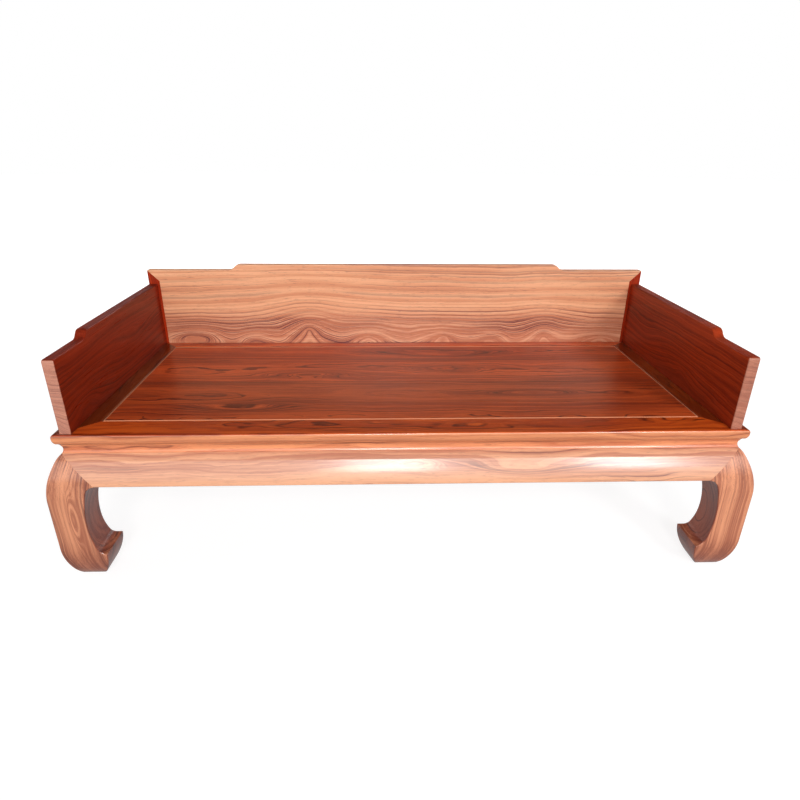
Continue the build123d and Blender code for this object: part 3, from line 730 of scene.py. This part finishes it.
# %% Dress the back board
LOW_DOWN = (0.64, 0.55)
LOW_DOWN_TONE = (0.86, 0.84, 0.9, 1.0)
CALM = {"Figure": 0.0, "Veins": 0.4, "Contrast": 0.75}
BACK_SWELLINGS = [
    ((-0.86, 0.42, 0.51), (0.15, 0.30, 0.055), -0.090, 2.0),
    ((-0.60, 0.42, 0.49), (0.07, 0.30, 0.060), -0.050, 2.0),
    ((-0.37, 0.42, 0.53), (0.11, 0.30, 0.110), -0.130, 1.1),
    ((-0.12, 0.42, 0.49), (0.10, 0.30, 0.080), -0.080, 1.6),
    ((0.20, 0.42, 0.50), (0.14, 0.30, 0.070), -0.100, 1.2),
    ((0.40, 0.42, 0.49), (0.08, 0.30, 0.060), -0.060, 2.0),
    ((0.62, 0.42, 0.51), (0.09, 0.30, 0.090), -0.090, 1.3),
    ((0.88, 0.42, 0.49), (0.15, 0.30, 0.055), -0.100, 1.8),
]

back = dress("back_board", "rail", "X", (0.05, -0.32), BACK_SWELLINGS)
for name, value in CALM.items():
    group_node(back, grain).inputs[name].default_value = value
low_down = remap(back.node_tree, axis_of(back, "Object", "Z"), *LOW_DOWN)
lively(back, low_down, Figure=0.028, Veins=1.3, Contrast=1.5)
tint(back, low_down, LOW_DOWN_TONE)
dull_top(back)
print("dressed the back board with", len(BACK_SWELLINGS), "swellings")

# %% [markdown]
# ## Side rails
#
# Each side rail is one solid board. It is dark red inside to match the seat, partly a stain
# and partly painted shade, and left natural outside and on its cut front end, where the end
# grain shows. Separate inner and outer boards would be wrong, because it is one piece of
# wood, so masks of the distance from the middle and from the front divide it. The two
# battens at the ends of the back rail are dark red as the side rails are, and natural behind.

# %% Dress the battens at the ends of the back rail
SKIN = (0.003, 0.001)  # how far under a face its finish starts, and where it is full


def under_face(material, axis, face):
    """1 on the face of a piece that is farthest along an axis from the middle."""
    tree = material.node_tree
    outwards = calc(tree, "ABSOLUTE", axis_of(material, "Object", axis))
    return remap(tree, outwards, *[face - depth for depth in SKIN])


back_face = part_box("back_board")[1][1]
for side in ("left", "right"):
    batten = dress(f"back_batten_{side}", "side", "Z", (0.1, 0.1))
    recolour(batten, under_face(batten, "Y", back_face), "rail")
    dull_top(batten)
print("rear face of the back rail at y", round(back_face, 3))

# %% Dress the side boards
SIDE_PILE = {"left": "side", "right": "brown side"}
# Painted shade: the left rail is darker, to offset the lamps that light it more.
SIDE_PAINTED_SHADE = {"left": 0.82, "right": 0.99}
CUT_END = (0.004, 0.002)
# End grain a little darker; the right end darker still, as painted shade.
CUT_END_TONE_AND_SHADE = {"left": (0.72, 0.65, 0.76, 1.0), "right": (0.61, 0.48, 0.52, 1.0)}
SIDE_SWELLINGS = {
    "left": [
        ((-1.0, -0.34, 0.53), (0.16, 0.30, 0.050), -0.050, 1.8),
        ((-1.0, 0.10, 0.60), (0.20, 0.30, 0.045), 0.030, 2.0),
    ],
    "right": [
        ((1.0, -0.10, 0.54), (0.20, 0.30, 0.050), -0.040, 1.4),
        ((1.0, 0.25, 0.58), (0.14, 0.30, 0.050), 0.030, 2.0),
    ],
}

for side, figure in SIDE_SWELLINGS.items():
    low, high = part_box(f"{side}_board")
    heart = (0.06, -0.26)
    board = dress(f"{side}_board", SIDE_PILE[side], "Y", heart, figure, SIDE_PAINTED_SHADE[side])
    tree = board.node_tree
    outside = under_face(board, "X", max(abs(low[0]), abs(high[0])))
    cut = remap(tree, axis_of(board, "Object", "Y"), *[low[1] + depth for depth in CUT_END])
    recolour(board, calc(tree, "MAXIMUM", outside, cut), "front")
    lively(board, cut, Contrast=0.55, Veins=0.4)
    tint(board, cut, CUT_END_TONE_AND_SHADE[side])
    dull_top(board)
print("front ends of the side rails at y", round(low[1], 3))

# %% [markdown]
# ## Hidden joinery
#
# The loose tenons and the dovetail keys show only when a rail is lifted off. A joiner
# leaves them unlacquered so that they slide, which is what the bare pile is for.

# %% Dress the keys and the loose tenons
for side in ("left", "right"):
    for part in ("key_lower", "key_upper", "tenon_front", "tenon_back"):
        dress(f"{side}_{part}", "bare", "Z")
for number in range(1, 4):
    dress(f"back_tenon_{number}", "bare", "Z")
print(len(bpy.data.materials), "materials")

# %% [markdown]
# ## Floor
#
# The daybed stands on a wide pale floor with a white surround. A floor painted pure white
# would clip in this light, so its own shader is a plain matt grey that takes the daybed's
# shadow. What the camera sees of it is lifted to white by a glow that lights nothing, and
# all the way at a distance, so that the floor has no visible end. The Light Path node
# tells what kind of ray is looking, so polished faces can be shown a dimmer glow, which
# keeps the colour of the wood deep.

# %% Floor
FLOOR_RADIUS = 30.0
FLOOR_PAINT = (0.3, 0.3, 0.3, 1.0)
WHITE = (1.0, 1.0, 1.0, 1.0)
REFLECTED_GLOW = 0.35
GLOW_DISTANCES = (1.4, 5.0)
GLOW_STRENGTHS = (0.82, 1.0)

bpy.ops.mesh.primitive_circle_add(
    vertices=64, radius=FLOOR_RADIUS, fill_type="NGON", location=(0, 0, 0)
)
floor = bpy.context.object
floor.name = "floor"

floor_paint = bpy.data.materials.new("floor_paint")
floor_paint.use_nodes = True
tree = floor_paint.node_tree
matt = tree.nodes["Principled BSDF"]
matt.inputs["Base Color"].default_value = FLOOR_PAINT
matt.inputs["Roughness"].default_value = 0.9
matt.inputs["Specular IOR Level"].default_value = 0.1
path = add_node(tree, "LightPath").outputs
seen = calc(tree, "MULTIPLY", path["Is Glossy Ray"], REFLECTED_GLOW)
for ray in ("Is Camera Ray", "Is Transmission Ray"):
    seen = calc(tree, "MAXIMUM", seen, path[ray])
place = add_node(tree, "TexCoord").outputs["Object"]
distance = add_node(tree, "VectorMath", {0: place}, operation="LENGTH").outputs["Value"]
far = remap(tree, distance, *GLOW_DISTANCES, *GLOW_STRENGTHS)
glow = add_node(tree, "Emission", {"Color": WHITE, "Strength": calc(tree, "MULTIPLY", far, seen)})
lift = add_node(tree, "AddShader", {0: matt.outputs[0], 1: glow.outputs[0]})
tree.links.new(lift.outputs[0], tree.nodes["Material Output"].inputs["Surface"])
floor.data.materials.append(floor_paint)
print("floor radius", FLOOR_RADIUS, "metres")

# %% [markdown]
# ## Surround
#
# The world does two jobs, and a Mix Shader keeps them apart by the kind of ray. As light it
# is a faint even glow, stronger from behind, as in a room with pale walls. As what is seen
# it is plain white for the camera. Polished faces see something between: a white wall in
# front, which gives the front its sheen, and elsewhere a dark room with a paler horizon,
# so that no haze lies over the seat. One bright world for all would bleach the wood.

# %% The world as light
WORLD_LIGHT = 0.13
BEHIND_BRIGHTER = 3.0
BEHIND = (-0.2, 0.8)

world = bpy.data.worlds.new("surround")
bpy.context.scene.world = world
world.use_nodes = True
tree = world.node_tree
direction = add_node(tree, "TexCoord").outputs["Generated"]
towards = add_node(tree, "SeparateXYZ", {0: direction}).outputs
ambient = tree.nodes["Background"]
ambient.inputs["Color"].default_value = WHITE
strength = remap(tree, towards["Y"], *BEHIND, WORLD_LIGHT, WORLD_LIGHT * BEHIND_BRIGHTER)
tree.links.new(strength, ambient.inputs["Strength"])
print("surround lights at", WORLD_LIGHT, "in front and", WORLD_LIGHT * BEHIND_BRIGHTER, "behind")

# %% The world as it is seen
HORIZON_HEIGHTS = (0.02, 0.2)
HORIZON_GLOW = (0.3, 0.03)
IN_FRONT = (-0.1, -0.5)
WALL_HEIGHTS = (-0.02, 0.2)
WALL_GLOW = (0.0, 1.0)

path = add_node(tree, "LightPath").outputs
horizon = remap(tree, towards["Z"], *HORIZON_HEIGHTS, *HORIZON_GLOW)
wall = remap(tree, towards["Z"], *WALL_HEIGHTS, *WALL_GLOW)
wall = calc(tree, "MULTIPLY", remap(tree, towards["Y"], *IN_FRONT), wall)
brightness = calc(tree, "MAXIMUM", calc(tree, "MAXIMUM", horizon, wall), path["Is Camera Ray"])
white = add_node(tree, "Background", {"Color": WHITE, "Strength": brightness})
looked_at = path["Is Camera Ray"]
for ray in ("Is Glossy Ray", "Is Transmission Ray"):
    looked_at = calc(tree, "MAXIMUM", looked_at, path[ray])
shown = add_node(tree, "MixShader", {0: looked_at, 1: ambient.outputs[0], 2: white.outputs[0]})
tree.links.new(shown.outputs[0], tree.nodes["World Output"].inputs["Surface"])
print("surround:", len(tree.nodes), "nodes")

# %% [markdown]
# ## Lamps
#
# The main light comes from high in front, as from the windows of a room, so faces towards
# the front are the brightest, and the seat and the insides of the rails fall off. Two tall
# bright windows in a dimmer wall give the lacquer on the front apron its highlights; one
# plain lamp would light as well but leave the lacquer dead. Low panels behind and at the
# sides show the other faces in their own colour, and the rails hide the seat from them.


# %% Aimed panels of light
def panel(name, place, aim, width, height, radiance):
    """A rectangular lamp whose surface shines with the given radiance."""
    data = bpy.data.lights.new(name, "AREA")
    data.shape = "RECTANGLE"
    data.size = width
    data.size_y = height
    data.energy = radiance * math.pi * width * height
    lamp = bpy.data.objects.new(name, data)
    bpy.context.scene.collection.objects.link(lamp)
    lamp.location = place
    lamp.rotation_euler = (Vector(aim) - Vector(place)).to_track_quat("-Z", "Y").to_euler()
    lamp.visible_camera = False
    print(name, "energy", round(data.energy), "W")


APRON = (0.0, -0.5, 0.4)
APRON_RIGHT = (0.5, -0.5, 0.4)
BACK_RAIL = (0.0, 0.5, 0.5)
panel("window_wall", (0.0, -8.5, 3.3), APRON, width=12.0, height=4.2, radiance=1.9)
panel("window_middle", (0.1, -8.4, 4.4), APRON, width=1.5, height=2.8, radiance=21.0)
panel("window_right", (4.0, -7.7, 4.2), APRON_RIGHT, width=1.3, height=2.4, radiance=25.0)
panel("far_wall", (0.0, 7.5, 1.3), BACK_RAIL, width=10.0, height=2.4, radiance=5.5)
for side, sign in (("left", -1.0), ("right", 1.0)):
    place, aim = (7.5 * sign, 0.0, 1.0), (1.0 * sign, 0.0, 0.4)
    panel(f"{side}_wall", place, aim, width=6.0, height=2.0, radiance=4.0)

# %% [markdown]
# ## Camera
#
# The eye of someone who stands near the front, a little left of the middle, and looks down
# a little: a wide lens, a modest tilt, and a lens shift for the rest, because a steeper
# tilt would make the legs splay. Focal length and shift are given in pixels of a square
# image, and turned into what Blender's sensor asks for.

# %% Camera
IMAGE_SIDE = 800.0
FOCAL_PIXELS = 617.7
AXIS_BELOW_MIDDLE = 48.7
CAMERA_PLACE = (-0.0857, -2.1271, 1.2310)
TILT_DOWN = 26.16
TURN_RIGHT = 2.26
ROLL = 0.49
SENSOR = 36.0

camera_data = bpy.data.cameras.new("camera")
camera_data.sensor_width = SENSOR
camera_data.lens = FOCAL_PIXELS / IMAGE_SIDE * SENSOR
camera_data.shift_y = AXIS_BELOW_MIDDLE / IMAGE_SIDE
camera = bpy.data.objects.new("camera", camera_data)
bpy.context.scene.collection.objects.link(camera)
turn = Matrix.Rotation(math.radians(-TURN_RIGHT), 4, "Z")
tilt = Matrix.Rotation(math.radians(90.0 - TILT_DOWN), 4, "X")
roll = Matrix.Rotation(math.radians(ROLL), 4, "Z")
camera.matrix_world = Matrix.Translation(CAMERA_PLACE) @ turn @ tilt @ roll
bpy.context.scene.camera = camera
bpy.context.scene.view_settings.view_transform = "Standard"
print("lens", round(camera_data.lens, 1), "mm")
